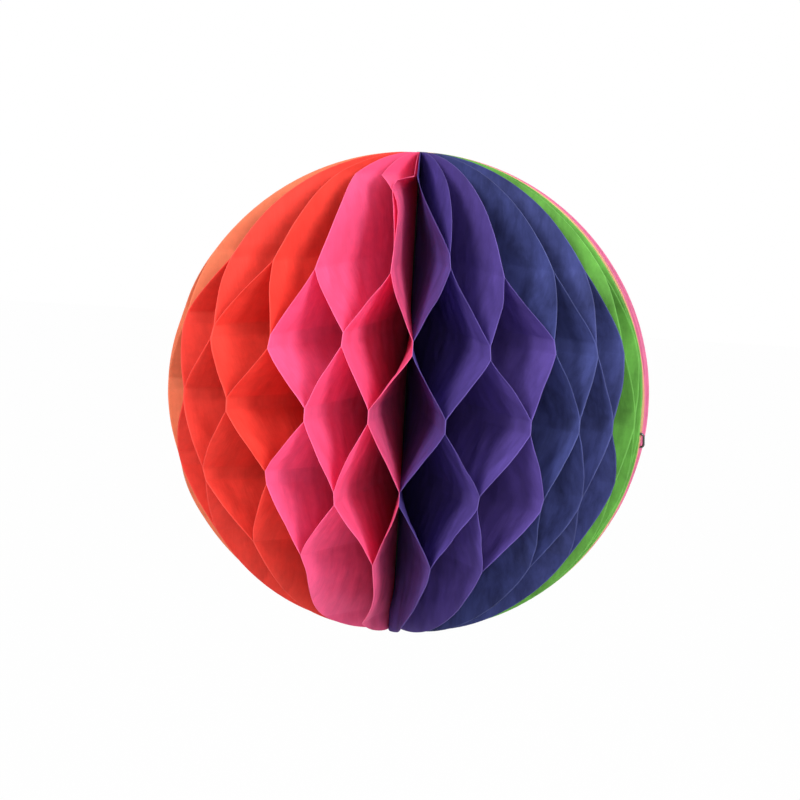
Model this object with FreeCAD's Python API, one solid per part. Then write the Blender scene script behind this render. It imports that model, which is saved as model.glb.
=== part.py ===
# Honeycomb paper ball: tissue leaves in colour bands, fanned out round a bound spine between two card covers
# The ball is opened all the way round, so its covers lie back to back at the seam, where a wire clip holds them
# +Z runs up the spine, -Y faces the viewer, the origin is the middle of the ball, and lengths are millimetres
import FreeCAD, Part
import math
import os

# Ball, and where its seam lies: degrees round from the viewer towards +X
ball_radius = 100.0
seam_azimuth = 71.0

# Tissue leaves: colour bands in order from the seam, leaves in each band, and the gauge of one leaf
band_colours = [
    "green", "navy", "purple", "magenta", "red", "orange",
    "yellow", "lime", "turquoise", "sky_blue", "lilac", "pink",
]
leaves_per_band = 4
leaf_thickness = 0.2

# Glue lines across a leaf: their spacing on the flat sheet and their height
glue_spacing = 31.2
glue_height = 5.0

# Glue lines that would fit but are left out near each pole, so that the leaves end there in pairs
glue_lines_left_out = 1

# Leaves crowd towards the seam: share of the pitch lost there, and how many leaves it takes to recover
seam_squeeze = 0.84
squeeze_reach = 8.0

# Spine: the straight edges of the leaves stand round it, each with this much spare room beside it
spine_edge_room = 0.1

# Card covers
cover_thickness = 0.5

# Wire clip: gauge, width and length of its outer loop, and its height on the ball
clip_wire = 0.9
clip_width = 6.6
clip_length = 22.0
clip_height = -10.0

# The clip's second loop is shorter and narrower, and both loops stop short of the rim
clip_loop_step = 4.0
clip_loop_inset = 1.4
clip_free_end = 6.0

# Bend of the clip's wire at the rim, and its clearance from the rim and from the faces of the covers
clip_bend = 1.4
clip_rim_clearance = 0.6
clip_face_clearance = 0.02

# How far the blanks run past the ball before they are cut to it, and the rounds that settle where a line meets it
trim_margin = 4.0
rim_search_rounds = 30

up = FreeCAD.Vector(0, 0, 1)
leaf_count = leaves_per_band * len(band_colours)
mean_pitch = 2 * math.pi / leaf_count
last_glue_line = int(ball_radius / glue_spacing) - glue_lines_left_out
spine_radius = (leaf_count * (leaf_thickness + spine_edge_room) + 2 * cover_thickness) / (2 * math.pi)


def direction(turn):
    """Level unit vector at a turn, in degrees from the seam towards the viewer."""
    azimuth = math.radians(seam_azimuth - turn)
    return FreeCAD.Vector(math.sin(azimuth), -math.cos(azimuth), 0)


def cover_turn(radius):
    """Turn taken up by one cover's thickness at this distance from the middle of the spine."""
    return math.degrees(math.asin(cover_thickness / radius))


def fan_share(place):
    """Part of the rim that the leaves before this place take up, with crowding at both ends of the fan."""
    before = 1 - math.exp(-place / squeeze_reach)
    after = math.exp((place - leaf_count) / squeeze_reach) - math.exp(-leaf_count / squeeze_reach)
    return place - seam_squeeze * squeeze_reach * (before + after)


def turn_at(radius, share):
    """Turn reached at this distance from the middle, once a share of the fan between the covers is passed."""
    first = cover_turn(radius)
    return first + (360 - 2 * first) * share


def boundary(place):
    """Ends of the straight line that parts two leaves: one on the spine and one on the rim."""
    inner = direction(turn_at(spine_radius, place / leaf_count)) * spine_radius
    outer = direction(turn_at(ball_radius, fan_share(place) / fan_share(leaf_count))) * ball_radius
    return inner, outer


def drawn_height(level, radius):
    """Height of a glue line this far out, where the zigzag of the leaves draws the lines together."""
    slanted = glue_spacing - glue_height
    return level * (glue_height + math.sqrt(slanted ** 2 - (mean_pitch * radius) ** 2))


def level_line(level):
    """Height of a glue line at the middle of the spine, and its slope from there to the rim."""
    radius = ball_radius - abs(level) * glue_spacing / 2
    for search_round in range(rim_search_rounds):
        radius = math.sqrt(ball_radius ** 2 - drawn_height(level, radius) ** 2)
    spine_height = level * glue_spacing
    return spine_height, (drawn_height(level, radius) - spine_height) / radius


def leaf_section(leaf, place, level, rise):
    """Thin slanted rectangle: a leaf's cut, raised by rise, along the glue line that it shares at this place."""
    inner, outer = boundary(place)
    along = (outer - inner).normalize()
    across = along.cross(up)
    near_side = 0 if place == leaf else -leaf_thickness
    far_side = near_side + leaf_thickness
    spine_height, slope = level_line(level)
    corners = []
    for distance, shift in (
        (0, near_side),
        (ball_radius + trim_margin, near_side),
        (ball_radius + trim_margin, far_side),
        (0, far_side),
    ):
        lift = spine_height + slope * distance + rise
        corners.append(inner + along * (distance - spine_radius) + across * shift + up * lift)
    return Part.makePolygon(corners + corners[:1])


def make_leaf(leaf, ball_space):
    """One tissue leaf: flat at each glue line, and slanting between them from one neighbour to the other."""
    last = last_glue_line
    pole_margin = ball_radius - last * glue_spacing + trim_margin
    sections = []
    for level in range(-last, last + 1):
        place = leaf if (leaf + level) % 2 else leaf + 1
        below = pole_margin if level == -last else glue_height / 2
        above = pole_margin if level == last else glue_height / 2
        sections.append(leaf_section(leaf, place, level, -below))
        sections.append(leaf_section(leaf, place, level, above))
    return Part.makeLoft(sections, True, True).common(ball_space)


def make_cover(side, ball_space):
    """Half-disc of card on one side of the seam, from the spine to the rim."""
    out = direction(0)
    across = out.cross(up) * side
    low = up * -(ball_radius + trim_margin)
    reach = out * (ball_radius + trim_margin)
    corners = [low, low + reach, low * -1 + reach, low * -1]
    card = Part.Face(Part.makePolygon(corners + corners[:1]))
    return card.extrude(across * cover_thickness).common(ball_space)


def bent_wire(points, bends):
    """Centre line through the points, rounded at each inner one by an arc of its bend radius."""
    edges = []
    start = points[0]
    for before, corner, after, bend in zip(points, points[1:], points[2:], bends):
        back = (before - corner).normalize()
        on = (after - corner).normalize()
        half_angle = back.getAngle(on) / 2
        setback = bend / math.tan(half_angle)
        middle = (back + on).normalize()
        crown = corner + middle * (bend / math.sin(half_angle) - bend)
        if (corner + back * setback - start).Length > clip_face_clearance:
            edges.append(Part.LineSegment(start, corner + back * setback).toShape())
        start = corner + on * setback
        edges.append(Part.Arc(corner + back * setback, crown, start).toShape())
    edges.append(Part.LineSegment(start, points[-1]).toShape())
    return Part.Wire(edges)


def make_clip():
    """Wire clip pushed over both covers from the rim, with one loop on the face of each."""
    out = direction(0)
    across = out.cross(up)
    half_width = (clip_width - clip_wire) / 2
    face = cover_thickness + clip_wire / 2 + clip_face_clearance
    top = clip_height + half_width
    bottom = clip_height - half_width
    rim = math.sqrt(ball_radius ** 2 - min(abs(top), abs(bottom)) ** 2)
    outside = rim + clip_wire / 2 + clip_rim_clearance
    front_end = outside - clip_length
    back_end = front_end + clip_loop_step
    free_end = outside - clip_free_end
    back_top = top - clip_loop_inset
    route = [
        (free_end, bottom, face),
        (front_end, bottom, face),
        (front_end, top, face),
        (outside, top, face),
        (outside, bottom, -face),
        (back_end, bottom, -face),
        (back_end, back_top, -face),
        (free_end, back_top, -face),
    ]
    points = [out * reach + up * height + across * side for reach, height, side in route]
    front_bend = half_width
    back_bend = (back_top - bottom) / 2
    bends = [front_bend, front_bend, clip_bend, clip_bend, back_bend, back_bend]
    profile = Part.Wire(Part.makeCircle(clip_wire / 2, points[0], out))
    return bent_wire(points, bends).makePipeShell([profile], True, False)


def write_part(name, shape):
    """Checks that a piece is one sound solid, then writes it under its name."""
    solids = shape.Solids
    if len(solids) != 1 or not solids[0].isValid() or solids[0].Volume <= 0:
        raise ValueError(f"{name} is not one sound solid")
    solids[0].exportStep(f"parts/{name}.step")
    print(f"{name}: {solids[0].Volume:.1f} mm3, {len(solids[0].Faces)} faces")


os.makedirs("parts", exist_ok=True)

ball = Part.makeSphere(ball_radius)
spine_blank = Part.makeCylinder(spine_radius, 2 * ball_radius, up * -ball_radius, up)
for round_blank in (ball, spine_blank):
    round_blank.rotate(FreeCAD.Vector(0, 0, 0), up, seam_azimuth - 90)
ball_space = ball.cut(spine_blank)

write_part("spine_binding", spine_blank.common(ball))
write_part("cover_front", make_cover(1, ball_space))
write_part("cover_back", make_cover(-1, ball_space))
write_part("rim_clip", make_clip())
for leaf in range(leaf_count):
    colour = band_colours[leaf // leaves_per_band]
    write_part(f"leaf_{leaf + 1:02d}_{colour}", make_leaf(leaf, ball_space))
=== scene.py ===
import math
import random
import bpy
from mathutils import Matrix, Vector, noise


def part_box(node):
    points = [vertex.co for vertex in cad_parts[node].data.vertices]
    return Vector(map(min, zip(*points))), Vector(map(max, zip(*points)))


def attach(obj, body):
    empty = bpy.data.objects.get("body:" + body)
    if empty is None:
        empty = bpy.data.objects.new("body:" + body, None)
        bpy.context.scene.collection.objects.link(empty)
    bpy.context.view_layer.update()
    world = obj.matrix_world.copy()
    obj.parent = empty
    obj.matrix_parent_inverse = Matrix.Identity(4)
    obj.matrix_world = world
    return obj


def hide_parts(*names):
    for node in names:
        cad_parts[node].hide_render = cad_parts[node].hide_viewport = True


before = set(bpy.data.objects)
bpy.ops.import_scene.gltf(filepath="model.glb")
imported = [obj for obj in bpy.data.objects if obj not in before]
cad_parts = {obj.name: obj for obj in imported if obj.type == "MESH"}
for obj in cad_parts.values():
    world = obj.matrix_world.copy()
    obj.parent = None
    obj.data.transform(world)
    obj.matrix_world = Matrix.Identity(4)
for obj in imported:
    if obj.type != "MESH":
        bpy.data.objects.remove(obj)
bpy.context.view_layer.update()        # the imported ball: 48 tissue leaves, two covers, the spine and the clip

mm = 0.001
up = Vector((0, 0, 1))
white = (1, 1, 1, 1)
firstColour, secondColour, mixedColour = 6, 7, 2     # sockets of a mix node that is set to colours
noiseSpread = {"From Min": 0.3, "From Max": 0.7}     # nearly all values of a noise lie between these
wavesPerUnit = 6                                     # bands of a wave node in one unit of its scale


def toLinear(hexColour):
    # sRGB hex to the linear values that shaders take
    channels = [int(hexColour[start:start + 2], 16) / 255 for start in (0, 2, 4)]
    return [value / 12.92 if value <= 0.04045 else ((value + 0.055) / 1.055) ** 2.4
            for value in channels] + [1]


def addNode(tree, kind, settings=None, inputs=None):
    # one node with its settings; an input is a value, or an output of another node
    node = tree.nodes.new(kind)
    for name, value in (settings or {}).items():
        setattr(node, name, value)
    for name, value in (inputs or {}).items():
        if isinstance(value, bpy.types.NodeSocket):
            tree.links.new(value, node.inputs[name])
        else:
            node.inputs[name].default_value = value
    return node


def newMaterial(name):
    # an empty material and its node tree
    material = bpy.data.materials.new(name)
    material.use_nodes = True
    material.node_tree.nodes.clear()
    return material, material.node_tree


def dressPiece(piece, material, node):
    # finish a new piece: its material and its body, and hide the node that it stands for
    piece.data.materials.clear()
    piece.data.materials.append(material)
    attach(piece, "root")
    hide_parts(node)


# The opened ball: how its leaves fan out from the seam
ball = {
    "radius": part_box("spine_binding")[1].z,    # the spine runs from pole to pole
    "spineRadius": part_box("spine_binding")[1].x,
    "seamAzimuth": 71.0,                       # degrees from the front towards +X
    "leafCount": sum(name.startswith("leaf_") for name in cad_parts),
    "seamSqueeze": 0.84,                       # the pitch lost at the seam
    "squeezeReach": 8.0,                       # leaves that it takes to recover
    "coverThickness": 0.5 * mm,
}

sheet = {
    "gauge": 0.10 * mm,          # tissue is 0.04 mm; it is drawn at 0.1 so that the two faces stay apart
    "glueGap": 0.12 * mm,        # between the middles of two glued sheets
    "glueSpacing": 31.2 * mm,    # on the flat sheet
    "glueHeight": 5 * mm,
    "softness": 0.12,            # how gently a leaf turns out of a glue line
    "columns": 34,
    "rimCrowding": 1.4,          # columns stand closer towards the rim
    "stripRows": 4,
    "wallRows": 13,
    "poleRows": 8,
    "poleEnd": 4.2 * mm,         # the last row ends this far out from the middle of the spine
    "searchRounds": 30,          # to find where a glue line meets the ball's surface
    "halvings": 18,              # to find where a row does, between the spine and a little past the rim
    "furthest": 1.1,             # ball radii
}

# How a hand opened this ball: small uneven steps all round, and the larger ones that show at the front
opening = {
    "seed": 20,
    "turn": 0.4,                 # degrees
    "rise": 0.5,                 # mm
    "seamLean": 2.2,             # degrees by which the first leaves are pressed towards the seam
    "leanPlace": 3.5,            # the place where that is strongest, and how many places it reaches
    "leanReach": 3.5,
    # degrees of turn and mm of rise of single joints, by glue level and place in the fan
    "joints": {
        2: {5: (-1.5, 2), 7: (-0.5, 1.5), 9: (1.5, -1), 11: (0, 1), 13: (-1.5, -1.5), 15: (1, -2),
            17: (-3, -0.5), 19: (-2.5, -1.5)},
        1: {2: (-3.5, -0.5), 4: (-2.5, 0.5), 6: (-2, 0), 8: (-2, 1.5), 10: (-0.5, -1), 12: (0.5, -0.5),
            14: (-1, 1), 16: (-1, -2.5), 18: (0, -2)},
        0: {3: (-2.5, -0.5), 5: (-1, -1.5), 7: (-1.5, 0), 9: (-2.5, 0), 11: (1, 0), 13: (0.5, 2),
            15: (-3, 0.5), 17: (0, 0)},
        -1: {6: (-0.5, -3), 8: (-1.5, -2.5), 10: (0, -0.5), 12: (1.5, 0), 14: (-1, -2), 16: (-2, 2.5),
             18: (2, -2)},
        -2: {7: (0.5, -2), 9: (1.5, -2.5), 11: (0.5, -1), 13: (-1, -1), 15: (1.5, -0.5), 17: (-1, 1)},
    },
    # past the last glue lines the leaves go on to the poles in pairs: by the end's side and the pair's place,
    # degrees turned aside, how late that comes, and mm of a bow next to the pole
    "ends": {
        1: {5: (-3, 1, 0), 7: (-0.5, 1, 0), 9: (0, 1, 0), 11: (0, 1, 0), 13: (4, 2, 0), 15: (9.5, 3, 0),
            17: (3, 2, 0), 19: (2, 1, 0)},
        -1: {5: (1, 1.7, 0), 7: (3, 1.7, 0), 9: (2, 1.7, 0), 11: (5, 1.5, 2.5), 13: (9, 3.2, -1),
             15: (14, 1.7, 0), 17: (4, 1.7, 0)},
    },
    "endLate": 1.5,
    # at the front four leaves part from each other at the top, and one of them leans back first
    "parted": {10: (-4, 1, 0), 11: (10.5, 1.2, 0), 12: (-4.8, 25, 0), 13: (12, 5, 0)},
    "leanBack": {12: 2.3},
}

# What the paper does between two glue lines
drape = {
    "belly": 0.7 * mm,           # how far a wall curves out of its plane
    "crumple": 0.9 * mm,         # soft dents that grow towards the rim
    "crumpleSize": 11 * mm,
    "bowReach": 28 * mm,         # how far from the spine the bows at the poles end
}

endLevel = int(ball["radius"] / sheet["glueSpacing"])    # no glue here: the leaves end in pairs
levels = range(-endLevel, endLevel + 1)
chance = random.Random(opening["seed"])


def direction(turn):
    # level unit vector at a turn, in degrees from the seam towards the front
    azimuth = math.radians(ball["seamAzimuth"] - turn)
    return Vector((math.sin(azimuth), -math.cos(azimuth), 0))


def fanShare(place):
    # part of the rim that the leaves before a place take up; they crowd at both ends
    reach, count = ball["squeezeReach"], ball["leafCount"]
    before = 1 - math.exp(-place / reach)
    after = math.exp((place - count) / reach) - math.exp(-count / reach)
    return place - ball["seamSqueeze"] * reach * (before + after)


def turnAt(radius, share):
    # degrees reached this far from the spine's middle, once a share of the fan between the covers is passed
    first = math.degrees(math.asin(ball["coverThickness"] / radius))
    return first + (360 - 2 * first) * share


def drawnHeight(level, radius):
    # the zigzag of the leaves draws the glue lines together towards the rim
    slanted = sheet["glueSpacing"] - sheet["glueHeight"]
    pitch = 2 * math.pi / ball["leafCount"]
    return level * (sheet["glueHeight"] + math.sqrt(slanted ** 2 - (pitch * radius) ** 2))


def rimOfLevel(level):
    # how far from the spine a glue line meets the ball's surface, and its slope on the way there
    radius = ball["radius"] - abs(level) * sheet["glueSpacing"] / 2
    for searchRound in range(sheet["searchRounds"]):
        radius = math.sqrt(ball["radius"] ** 2 - drawnHeight(level, radius) ** 2)
    return radius, (drawnHeight(level, radius) - level * sheet["glueSpacing"]) / radius


levelRims = {level: rimOfLevel(level) for level in levels}


def openJoints():
    # turn and slope that each glued joint has beside its even place; both of its leaves share them
    steps = {}
    for place in range(ball["leafCount"] + 1):
        lean = -opening["seamLean"] * math.exp(-((place - opening["leanPlace"]) / opening["leanReach"]) ** 2)
        for level in levels:
            turn = chance.uniform(-1, 1) * opening["turn"] + lean
            rise = chance.uniform(-1, 1) * opening["rise"]
            turn, rise = opening["joints"].get(level, {}).get(place, (turn, rise))
            atCover = place in (0, 1, ball["leafCount"])
            steps[place, level] = (0, 0) if atCover else (turn, rise * mm / levelRims[level][0])
    return steps


def glued(leaf, level):
    # the place in the fan where a leaf meets its neighbour; past the last glue lines it stays there
    glueLevel = max(1 - endLevel, min(level, endLevel - 1))
    return leaf if (leaf + glueLevel) % 2 else leaf + 1


def openEnds():
    # how each leaf goes on to the top and the bottom pole: its turn, how late that comes, and its bow
    ends = {}
    for side in (-1, 1):
        for leaf in range(ball["leafCount"]):
            place = glued(leaf, side * endLevel)
            even = (jointSteps[place, side * endLevel][0], opening["endLate"], 0)
            ends[leaf, side] = opening["ends"][side].get(place, even)
            if side > 0:
                ends[leaf, side] = opening["parted"].get(leaf, ends[leaf, side])
    return ends


jointSteps = openJoints()
leafEnds = openEnds()


def glueLine(leaf, place, level, edge):
    # a leaf's own side of the line that it shares at this place: a start, a way out and a slope
    turnStep, slopeStep = jointSteps[place, level]
    if abs(level) == endLevel:
        turnStep, slopeStep = leafEnds[leaf, level / endLevel][0], 0
    inner = direction(turnAt(ball["spineRadius"], place / ball["leafCount"])) * ball["spineRadius"]
    rimTurn = turnAt(ball["radius"], fanShare(place) / fanShare(ball["leafCount"])) + turnStep
    outer = direction(rimTurn) * ball["radius"]
    along = (outer - inner).normalized()
    side = along.cross(up) * (1 if place == leaf else -1)
    start = inner + side * sheet["glueGap"] / 2 + up * (level * sheet["glueSpacing"] + edge)
    return start, along, levelRims[level][1] + slopeStep


def onLine(line, distance):
    start, along, slope = line
    return start + along * (distance - ball["spineRadius"]) + up * slope * distance


def leafLines(leaf):
    # the lower and upper edge of every glue line, from the bottom to the top, by height on the flat sheet
    lines = []
    half = sheet["glueHeight"] / 2
    for level in levels:
        place = glued(leaf, level)
        for edge in (-half, half):
            lines.append((level * sheet["glueSpacing"] + edge, glueLine(leaf, place, level, edge)))
    return lines


def flatRows(lines):
    # flat heights of the rows: even ones in each glued strip, and closer ones towards the folds and the poles
    heights = []
    for index in range(len(lines) - 1):
        low, high = lines[index][0], lines[index + 1][0]
        inStrip = index % 2 == 0
        count = sheet["stripRows"] if inStrip else sheet["wallRows"]
        for row in range(count):
            share = row / count if inStrip else (1 - math.cos(math.pi * row / count)) / 2
            heights.append(low + (high - low) * share)
    heights.append(lines[-1][0])
    top = math.sqrt(ball["radius"] ** 2 - sheet["poleEnd"] ** 2)
    for row in range(1, sheet["poleRows"] + 1):
        share = math.sin(math.pi / 2 * row / sheet["poleRows"])
        extra = lines[-1][0] + (top - lines[-1][0]) * share
        heights = [-extra] + heights + [extra]
    return heights


def crossing(leaf, index, share):
    # how far a wall has gone from its lower glue line to the upper one
    level = (index - 1) // 2 - endLevel
    if level == -endLevel:
        return 1 - (1 - share) ** leafEnds[leaf, -1][1]
    if level == endLevel - 1:
        gone = share ** leafEnds[leaf, 1][1]
        return gone - opening["leanBack"].get(leaf, 0) * share ** 2 * (1 - gone)
    smooth = share * share * (3 - 2 * share)
    return share + (smooth - share) * sheet["softness"]


# how far each wall of each sheet curves out of its plane
bellies = {(sheetNumber, index): chance.uniform(-1, 1) * drape["belly"]
           for sheetNumber in range(ball["leafCount"] + 1) for index in range(2 * len(levels))}


def wallShift(leaf, index, share, height, distance):
    # a wall bellies between its glue lines and has soft dents that grow towards the rim; a pair at a pole
    # shares its dents
    outward = distance / ball["radius"]
    atEnd = index in (1, len(levels) * 2 - 3)
    sheetNumber = glued(leaf, endLevel) if atEnd else leaf
    belly = 0 if atEnd else bellies[sheetNumber, index]
    dent = noise.noise(Vector((distance, height, 0)) / drape["crumpleSize"] + Vector((0, 0, sheetNumber)))
    return math.sin(math.pi * share) * outward ** 2 * (belly + drape["crumple"] * dent)


def poleBow(leaf, height, distance):
    # next to a pole a pair bows aside on its way from the spine to the rim
    start = (endLevel - 1) * sheet["glueSpacing"] + sheet["glueHeight"] / 2
    share = min(max(abs(height) - start, 0) / (sheet["glueSpacing"] - sheet["glueHeight"]), 1)
    bow = leafEnds[leaf, 1 if height > 0 else -1][2] * mm
    return bow * share ** 2 * math.sin(math.pi * min(distance / drape["bowReach"], 1))


def outwards(point):
    # level unit vector from the spine towards a point
    return Vector((point.x, point.y, 0)).normalized()


def sheetPoint(leaf, lines, height, distance):
    # where a point of the flat leaf lies once the ball is open
    aside = poleBow(leaf, height, distance)
    if height <= lines[0][0] or height >= lines[-1][0]:
        flat, line = lines[0] if height < 0 else lines[-1]
        point = onLine(line, distance) + up * (height - flat)
        return point + outwards(point).cross(up) * aside
    index = min(max(k for k in range(len(lines)) if lines[k][0] <= height), len(lines) - 2)
    (low, lowerLine), (high, upperLine) = lines[index], lines[index + 1]
    share = (height - low) / (high - low)
    lower, upper = onLine(lowerLine, distance), onLine(upperLine, distance)
    if index % 2 == 0:
        point = lower.lerp(upper, share)
    else:
        point = lower.lerp(upper, crossing(leaf, index, share))
        point.z = lower.z + (upper.z - lower.z) * share
        aside += wallShift(leaf, index, share, height, distance)
    return point + outwards(point).cross(up) * aside


def rimDistance(leaf, lines, height):
    # how far out a row meets the ball's surface
    near, far = ball["spineRadius"], sheet["furthest"] * ball["radius"]
    for halving in range(sheet["halvings"]):
        half = (near + far) / 2
        if sheetPoint(leaf, lines, height, half).length < ball["radius"]:
            near = half
        else:
            far = half
    return near


def makeLeaf(leaf, name, material):
    # a flat grid, one row for each flat height, laid out as the opened leaf and given its gauge
    lines = leafLines(leaf)
    rows = flatRows(lines)
    bpy.ops.object.select_all(action="DESELECT")
    bpy.ops.mesh.primitive_grid_add(x_subdivisions=sheet["columns"], y_subdivisions=len(rows) - 1, size=2)
    piece = bpy.context.object
    piece.name = piece.data.name = name
    reach = [rimDistance(leaf, lines, height) for height in rows]
    flat = {}
    for vertex in piece.data.vertices:
        row = round((vertex.co.y + 1) / 2 * (len(rows) - 1))
        across = 1 - (1 - (vertex.co.x + 1) / 2) ** sheet["rimCrowding"]
        distance = ball["spineRadius"] + (reach[row] - ball["spineRadius"]) * across
        vertex.co = sheetPoint(leaf, lines, rows[row], distance)
        flat[vertex.index] = (distance / mm, rows[row] / mm)
    piece.data.uv_layers[0].name = "flatSheet"       # millimetres on the flat leaf
    for loop in piece.data.loops:
        piece.data.uv_layers[0].data[loop.index].uv = flat[loop.vertex_index]
    gauge = piece.modifiers.new("gauge", "SOLIDIFY")
    gauge.thickness = sheet["gauge"]
    gauge.offset = 0
    bpy.ops.object.modifier_apply(modifier=gauge.name)
    bpy.ops.object.shade_smooth()
    dressPiece(piece, material, name)


tissueColours = {
    "green": "70b44f", "navy": "454c86", "purple": "6853a6", "magenta": "fc6a9e", "red": "f24c40",
    "orange": "f08a64", "yellow": "fcd544", "lime": "b6d84c", "turquoise": "40c2b6", "sky_blue": "5cace4",
    "lilac": "b58fd2", "pink": "e67ea6",
}

# Share by which painted streaks of highlight and shade, standing in for the gloss on crinkled tissue, lighten
# and darken a dye
paintedStreakShare = {"navy": 0.4, "purple": 0.18, "green": 0.3, "turquoise": 0.15, "other": 0.07}

tissueFinish = {
    "through": 0.38,          # share of the light that passes through the sheet
    "roughness": 0.6,         # calendered on one side, so it has a faint gloss
    "gloss": 0.15,
    "cloudSize": 3.0,         # mm, the cloudy spread of the fibres
    "cloudDepth": 0.08,
    "paintedStreakSize": 9.0,        # mm across the painted streaks of highlight and shade that stand in for the gloss on crinkles
    "paintedStreakLength": 2.2,      # times longer than wide
    "foldSize": 8.0,          # mm, soft folds from handling, and their depth
    "foldDepth": 0.9,
    "fibreSize": 0.5,         # mm, fibres, drawn coarser than the real 0.1 mm so that they show
    "creaseSize": 1.6,        # mm across a crease, and how many times longer it is than wide
    "creaseLength": 6.0,
    "creaseDepth": 0.15,      # mm
    "fibreShare": 0.12,       # of the creases' depth
    "relief": 0.8,
    "paintedRimHighlightBand": 0.35,          # mm, the painted highlight along the cut edge, where it would catch the light
    "paintedRimHighlight": 0.03,
    "clouds": {"Detail": 4, "Roughness": 0.6},
    "fibres": {"Detail": 2, "Roughness": 0.7},
    "creases": {"Detail": 2, "Distortion": 0.2},
    "folds": {"Detail": 0, "Distortion": 0.3},
    "paintedStreaks": {"Detail": 6, "Roughness": 0.6, "Distortion": 0.4},
}


def dyedTissue(name, hexColour):
    # dyed tissue paper, rolled smooth: soft and cloudy, finely creased, and it glows where light is behind it;
    # painted streaks of highlight and shade and a painted highlight along the cut edge are laid into its colour
    paintedStreakDepth = paintedStreakShare.get(name, paintedStreakShare["other"])
    material, tree = newMaterial("dyed tissue paper " + name)
    flat = addNode(tree, "ShaderNodeUVMap", {"uv_map": "flatSheet"}).outputs["UV"]
    place = addNode(tree, "ShaderNodeTexCoord").outputs["Object"]
    clouds = addNode(tree, "ShaderNodeTexNoise", {}, {
        "Vector": flat, "Scale": 1 / tissueFinish["cloudSize"], **tissueFinish["clouds"]})
    fibres = addNode(tree, "ShaderNodeTexNoise", {}, {
        "Vector": flat, "Scale": 1 / tissueFinish["fibreSize"], **tissueFinish["fibres"]})
    drawn = addNode(tree, "ShaderNodeMapping", {}, {
        "Vector": flat, "Scale": (1, 1 / tissueFinish["creaseLength"], 1)})
    creases = addNode(tree, "ShaderNodeTexNoise", {}, {
        "Vector": drawn.outputs["Vector"], "Scale": 1 / tissueFinish["creaseSize"],
        **tissueFinish["creases"]})
    folds = addNode(tree, "ShaderNodeTexNoise", {}, {
        "Vector": flat, "Scale": 1 / tissueFinish["foldSize"], **tissueFinish["folds"]})
    longer = addNode(tree, "ShaderNodeMapping", {}, {
        "Vector": flat, "Scale": (1, 1 / tissueFinish["paintedStreakLength"], 1)})
    paintedStreaks = addNode(tree, "ShaderNodeTexNoise", {}, {
        "Vector": longer.outputs["Vector"], "Scale": 1 / tissueFinish["paintedStreakSize"],
        **tissueFinish["paintedStreaks"]})
    tone = addNode(tree, "ShaderNodeMapRange", {}, {
        "Value": clouds.outputs["Fac"], **noiseSpread,
        "To Min": 1 - tissueFinish["cloudDepth"], "To Max": 1.0})
    # painted highlight and shade: streaks that lighten and darken the dye where crinkles would catch or lose
    # the gloss
    paintedStreakTone = addNode(tree, "ShaderNodeMapRange", {}, {
        "Value": paintedStreaks.outputs["Fac"], **noiseSpread, "To Min": 1 - paintedStreakDepth, "To Max": 1 + paintedStreakDepth})
    cloudAndPaintedStreakTone = addNode(tree, "ShaderNodeMath", {"operation": "MULTIPLY"}, {
        0: tone.outputs["Result"], 1: paintedStreakTone.outputs["Result"]})
    # the dye's colour with its cloudy tone and the painted streaks of highlight and shade
    colour = addNode(tree, "ShaderNodeVectorMath", {"operation": "SCALE"}, {
        0: toLinear(hexColour)[:3], "Scale": cloudAndPaintedStreakTone.outputs[0]})
    fromMiddle = addNode(tree, "ShaderNodeVectorMath", {"operation": "LENGTH"}, {0: place})
    # painted highlight: the colour turns towards white within a narrow band at the rim, where the cut edge
    # would catch the light
    edge = addNode(tree, "ShaderNodeMapRange", {}, {
        "Value": fromMiddle.outputs["Value"], "From Min": ball["radius"] - tissueFinish["paintedRimHighlightBand"] * mm,
        "From Max": ball["radius"], "To Min": 0, "To Max": tissueFinish["paintedRimHighlight"]})
    dyeWithRimHighlight = addNode(tree, "ShaderNodeMix", {"data_type": "RGBA"}, {
        "Factor": edge.outputs["Result"], firstColour: colour.outputs["Vector"], secondColour: white})
    relief = addNode(tree, "ShaderNodeMath", {"operation": "MULTIPLY_ADD"}, {
        0: fibres.outputs["Fac"], 1: tissueFinish["fibreShare"], 2: creases.outputs["Fac"]})
    softBump = addNode(tree, "ShaderNodeBump", {}, {
        "Strength": tissueFinish["relief"], "Distance": tissueFinish["foldDepth"] * mm,
        "Height": folds.outputs["Fac"]})
    bump = addNode(tree, "ShaderNodeBump", {}, {
        "Strength": tissueFinish["relief"], "Distance": tissueFinish["creaseDepth"] * mm,
        "Height": relief.outputs[0], "Normal": softBump.outputs["Normal"]})
    surface = addNode(tree, "ShaderNodeBsdfPrincipled", {}, {
        "Base Color": dyeWithRimHighlight.outputs[mixedColour], "Roughness": tissueFinish["roughness"],
        "Specular IOR Level": tissueFinish["gloss"], "Normal": bump.outputs["Normal"]})
    behind = addNode(tree, "ShaderNodeBsdfTranslucent", {}, {
        "Color": dyeWithRimHighlight.outputs[mixedColour], "Normal": bump.outputs["Normal"]})
    both = addNode(tree, "ShaderNodeMixShader", {}, {
        0: tissueFinish["through"], 1: surface.outputs[0], 2: behind.outputs[0]})
    addNode(tree, "ShaderNodeOutputMaterial", {}, {"Surface": both.outputs[0]})
    return material


def makeLeaves():
    # every packed leaf, in the tissue that its name tells
    tissues = {name: dyedTissue(name, colour) for name, colour in tissueColours.items()}
    for name in sorted(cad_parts):
        if name.startswith("leaf_"):
            number, colourName = name.split("_", 2)[1:]
            makeLeaf(int(number) - 1, name, tissues[colourName])


makeLeaves()
print("tissue leaves made")

cardFinish = {
    "colour": "c49160",
    "edgeColour": "d9b48c",
    "plySize": 0.17,          # mm, three plies in the thickness
    "plyWander": 0.5,
    "fibreSize": 0.8,         # mm
    "fibreHeight": 0.05,      # mm
    "relief": 0.3,
    "roughness": 0.85,
    "gloss": 0.2,
    "fibres": {"Detail": 3, "Roughness": 0.7},
}


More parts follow.
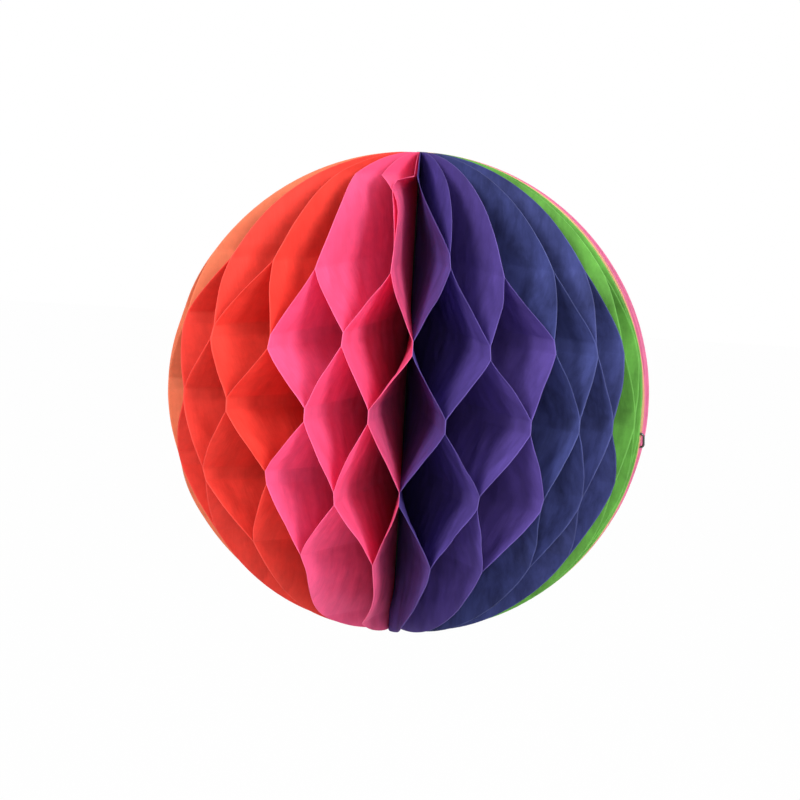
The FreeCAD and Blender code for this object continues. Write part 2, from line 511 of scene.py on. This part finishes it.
def pastedCard():
    # brown pasteboard, cut with a die: dull, with darker fibres, and its plies show at the edge
    material, tree = newMaterial("brown pasteboard")
    place = addNode(tree, "ShaderNodeTexCoord").outputs["Object"]
    fibres = addNode(tree, "ShaderNodeTexNoise", {}, {
        "Vector": place, "Scale": 1 / (cardFinish["fibreSize"] * mm), **cardFinish["fibres"]})
    turned = addNode(tree, "ShaderNodeMapping", {}, {
        "Vector": place, "Rotation": (0, 0, -math.radians(ball["seamAzimuth"]))})
    plies = addNode(tree, "ShaderNodeTexWave", {"bands_direction": "X"}, {
        "Vector": turned.outputs["Vector"], "Scale": 1 / (cardFinish["plySize"] * mm * wavesPerUnit),
        "Distortion": cardFinish["plyWander"]})
    blend = addNode(tree, "ShaderNodeMath", {"operation": "MULTIPLY"}, {
        0: fibres.outputs["Fac"], 1: plies.outputs["Fac"]})
    colour = addNode(tree, "ShaderNodeMix", {"data_type": "RGBA"}, {
        "Factor": blend.outputs[0], firstColour: toLinear(cardFinish["colour"]),
        secondColour: toLinear(cardFinish["edgeColour"])})
    bump = addNode(tree, "ShaderNodeBump", {}, {
        "Strength": cardFinish["relief"], "Distance": cardFinish["fibreHeight"] * mm,
        "Height": fibres.outputs["Fac"]})
    surface = addNode(tree, "ShaderNodeBsdfPrincipled", {}, {
        "Base Color": colour.outputs[mixedColour], "Roughness": cardFinish["roughness"],
        "Specular IOR Level": cardFinish["gloss"], "Normal": bump.outputs["Normal"]})
    addNode(tree, "ShaderNodeOutputMaterial", {}, {"Surface": surface.outputs[0]})
    return material


threadFinish = {
    "colour": "241f1d",
    "crownColour": "4a423b",
    "turnSize": 0.6,          # mm from one turn of the thread to the next
    "turnWander": 1.5,
    "wanderDetail": 1,
    "turnHeight": 0.2,        # mm
    "relief": 0.6,
    "roughness": 0.7,
}


def driedGlue():
    # cotton thread soaked in brown glue: dark, dull, with the turns of the thread standing out
    material, tree = newMaterial("glued cotton thread")
    place = addNode(tree, "ShaderNodeTexCoord").outputs["Object"]
    turns = addNode(tree, "ShaderNodeTexWave", {"bands_direction": "Z"}, {
        "Vector": place, "Scale": 1 / (threadFinish["turnSize"] * mm * wavesPerUnit),
        "Distortion": threadFinish["turnWander"], "Detail": threadFinish["wanderDetail"]})
    colour = addNode(tree, "ShaderNodeMix", {"data_type": "RGBA"}, {
        "Factor": turns.outputs["Fac"], firstColour: toLinear(threadFinish["colour"]),
        secondColour: toLinear(threadFinish["crownColour"])})
    bump = addNode(tree, "ShaderNodeBump", {}, {
        "Strength": threadFinish["relief"], "Distance": threadFinish["turnHeight"] * mm,
        "Height": turns.outputs["Fac"]})
    surface = addNode(tree, "ShaderNodeBsdfPrincipled", {}, {
        "Base Color": colour.outputs[mixedColour], "Roughness": threadFinish["roughness"],
        "Normal": bump.outputs["Normal"]})
    addNode(tree, "ShaderNodeOutputMaterial", {}, {"Surface": surface.outputs[0]})
    return material


steelFinish = {
    "colour": "5e5c5e",
    "lineSize": 0.3,          # mm
    "lineDepth": 0.03,        # mm
    "relief": 0.2,
    "brightest": 0.28,        # roughness where the wire is polished, and where it is dull
    "dullest": 0.48,
    "lines": {"Detail": 3, "Roughness": 0.6},
}


def drawnSteel():
    # steel wire, drawn and left dark by its oil: fine lines run along it and it has narrow highlights
    material, tree = newMaterial("drawn steel wire")
    place = addNode(tree, "ShaderNodeTexCoord").outputs["Object"]
    lines = addNode(tree, "ShaderNodeTexNoise", {}, {
        "Vector": place, "Scale": 1 / (steelFinish["lineSize"] * mm), **steelFinish["lines"]})
    shine = addNode(tree, "ShaderNodeMapRange", {}, {
        "Value": lines.outputs["Fac"], **noiseSpread,
        "To Min": steelFinish["brightest"], "To Max": steelFinish["dullest"]})
    bump = addNode(tree, "ShaderNodeBump", {}, {
        "Strength": steelFinish["relief"], "Distance": steelFinish["lineDepth"] * mm,
        "Height": lines.outputs["Fac"]})
    surface = addNode(tree, "ShaderNodeBsdfPrincipled", {}, {
        "Base Color": toLinear(steelFinish["colour"]), "Metallic": 1.0,
        "Roughness": shine.outputs["Result"], "Normal": bump.outputs["Normal"]})
    addNode(tree, "ShaderNodeOutputMaterial", {}, {"Surface": surface.outputs[0]})
    return material


def dressNode(node, material):
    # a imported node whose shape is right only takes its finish
    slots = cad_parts[node].data.materials
    slots.clear()
    slots.append(material)


card = pastedCard()
dressNode("cover_front", card)
dressNode("cover_back", card)
dressNode("spine_binding", driedGlue())
dressNode("rim_clip", drawnSteel())
print("covers, spine and clip dressed")

# White studio: the ball hangs above a pale floor; lengths in metres
stage = {
    "floorDrop": 0.45,          # from the middle of the ball
    "floorSize": 12.0,
    "floorColour": "dcdcdc",
    "floorRoughness": 0.9,
    "floorGloss": 0.1,
    "floorGlow": 0.98,          # share of the floor's whiteness to the eye that shadows don't touch
    "roomLight": 0.72,
}


def seenDirectly(tree):
    # 1 where a ray comes from the camera, a gloss or a glass
    rays = addNode(tree, "ShaderNodeLightPath")
    seen = addNode(tree, "ShaderNodeMath", {"operation": "MAXIMUM"}, {
        0: rays.outputs["Is Camera Ray"], 1: rays.outputs["Is Glossy Ray"]})
    return addNode(tree, "ShaderNodeMath", {"operation": "MAXIMUM"}, {
        0: seen.outputs[0], 1: rays.outputs["Is Transmission Ray"]}).outputs[0]


def makeFloor():
    # a pale floor that the camera sees as nearly white, and that keeps the ball's shadow
    bpy.ops.object.select_all(action="DESELECT")
    bpy.ops.mesh.primitive_plane_add(size=stage["floorSize"], location=(0, 0, -stage["floorDrop"]))
    floor = bpy.context.object
    floor.name = "floor"
    material, tree = newMaterial("white studio floor")
    surface = addNode(tree, "ShaderNodeBsdfPrincipled", {}, {
        "Base Color": toLinear(stage["floorColour"]), "Roughness": stage["floorRoughness"],
        "Specular IOR Level": stage["floorGloss"]})
    glow = addNode(tree, "ShaderNodeEmission", {}, {"Color": white, "Strength": 1.0})
    share = addNode(tree, "ShaderNodeMath", {"operation": "MULTIPLY"}, {
        0: seenDirectly(tree), 1: stage["floorGlow"]})
    both = addNode(tree, "ShaderNodeMixShader", {}, {
        0: share.outputs[0], 1: surface.outputs[0], 2: glow.outputs[0]})
    addNode(tree, "ShaderNodeOutputMaterial", {}, {"Surface": both.outputs[0]})
    floor.data.materials.append(material)


def makeWorld():
    # plain pale light all round; what the camera sees past the floor is white
    world = bpy.data.worlds.new("studio")
    bpy.context.scene.world = world
    world.use_nodes = True
    tree = world.node_tree
    tree.nodes.clear()
    room = addNode(tree, "ShaderNodeBackground", {}, {"Color": white, "Strength": stage["roomLight"]})
    backdrop = addNode(tree, "ShaderNodeBackground", {}, {"Color": white, "Strength": 1.0})
    both = addNode(tree, "ShaderNodeMixShader", {}, {
        0: seenDirectly(tree), 1: room.outputs[0], 2: backdrop.outputs[0]})
    addNode(tree, "ShaderNodeOutputWorld", {}, {"Surface": both.outputs[0]})


# Soft boxes: azimuth from the front and height above level in degrees, distance and size in metres, watts
lamps = {
    "left soft box": (-36, 30, 1.6, 0.5, 17),
    "right soft box": (32, 24, 1.6, 0.5, 20),
    "front fill": (6, 8, 1.8, 1.2, 8),
}


def makeLamp(name, azimuth, height, distance, size, power):
    # a round soft box that shines at the middle of the ball
    side, rise = math.radians(azimuth), math.radians(height)
    away = Vector((math.sin(side) * math.cos(rise), -math.cos(side) * math.cos(rise), math.sin(rise)))
    bpy.ops.object.light_add(type="AREA", location=away * distance)
    lamp = bpy.context.object
    lamp.name = name
    lamp.data.shape = "DISK"
    lamp.data.size = size
    lamp.data.energy = power
    lamp.rotation_euler = (-away).to_track_quat("-Z", "Y").to_euler()


view = {
    "distance": 0.70,
    "elevation": 6.9,           # degrees above level
    "roll": 3.4,                # degrees, so that the poles lean to the right in the picture
    "lens": 75.0,
    "pictureWidth": 800,        # pixels
    "ballRight": 8.5,           # pixels by which the ball's middle lies right of the picture's, and above it
    "ballAbove": 7.9,
    "nearClip": 0.01,
}


def makeCamera():
    # level with the photo's view: a little above, and turned so that the poles lean
    elevation = math.radians(view["elevation"])
    place = Vector((0, -math.cos(elevation), math.sin(elevation))) * view["distance"]
    bpy.ops.object.camera_add(location=place)
    camera = bpy.context.object
    aim = (-place).to_track_quat("-Z", "Y").to_matrix()
    camera.rotation_euler = (aim @ Matrix.Rotation(math.radians(view["roll"]), 3, "Z")).to_euler()
    camera.data.lens = view["lens"]
    camera.data.shift_x = -view["ballRight"] / view["pictureWidth"]
    camera.data.shift_y = -view["ballAbove"] / view["pictureWidth"]
    camera.data.clip_start = view["nearClip"]
    bpy.context.scene.camera = camera


makeFloor()
makeWorld()
for lampName, values in lamps.items():
    makeLamp(lampName, *values)
makeCamera()
bpy.context.scene.view_settings.view_transform = "Standard"
print("stage, lights and camera made")
